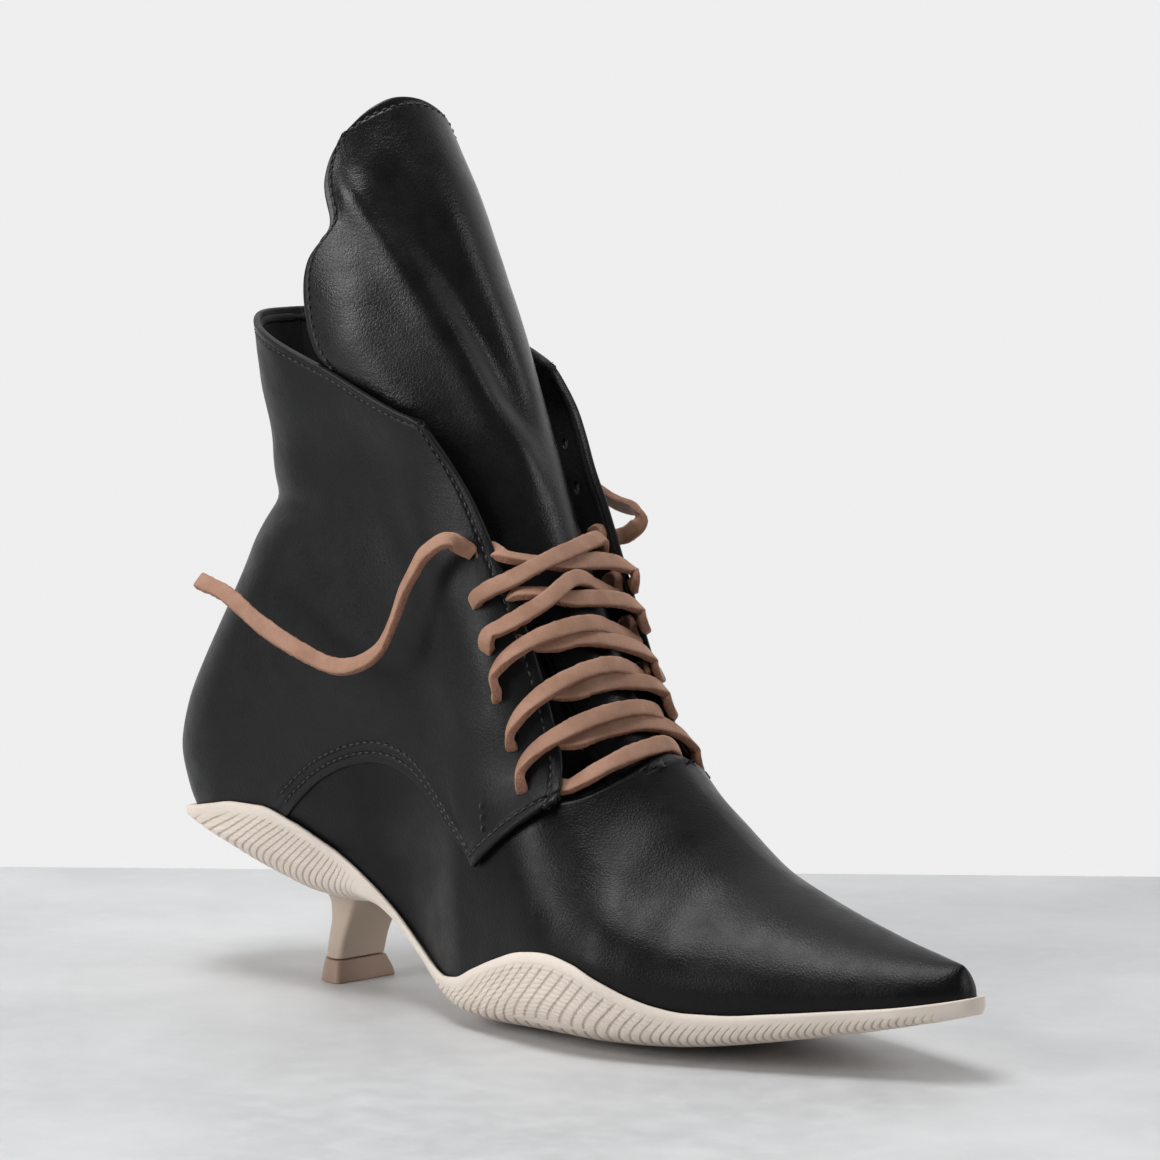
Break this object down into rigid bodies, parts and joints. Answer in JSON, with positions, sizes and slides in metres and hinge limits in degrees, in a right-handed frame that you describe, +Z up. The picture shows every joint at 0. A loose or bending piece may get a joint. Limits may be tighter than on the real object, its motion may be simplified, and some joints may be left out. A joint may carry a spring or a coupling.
{
  "type": "pointed lace-up boot",
  "caption": "Right-foot pointed ankle boot with a set-forward kitten heel, moulded rubber sole, tall tongue and a flat leather lace.",
  "frame": {"origin": "on the floor, under the middle of the heel's top-piece", "axes": "+X to the toe, +Y to the inner (medial) side of this right-foot boot, +Z up"},
  "size_m": [0.274, 0.0892, 0.24],
  "materials": {
    "black_leather": "semi-gloss black leather",
    "cream_rubber": "matt cream rubber, finely ribbed",
    "pink_beige_rubber": "matt pinkish beige rubber",
    "dark_lining": "matt dark lining leather",
    "natural_leather": "natural vegetable-tanned leather, raw cut edges"
  },
  "bodies": {
    "root": {"upper": "black_leather", "outsole": "cream_rubber", "heel_top_piece": "pink_beige_rubber", "insole": "dark_lining", "tongue": "black_leather", "laces": "natural_leather", "lace_end_lateral": "natural_leather", "lace_end_medial": "natural_leather"}
  },
  "joints": []
}
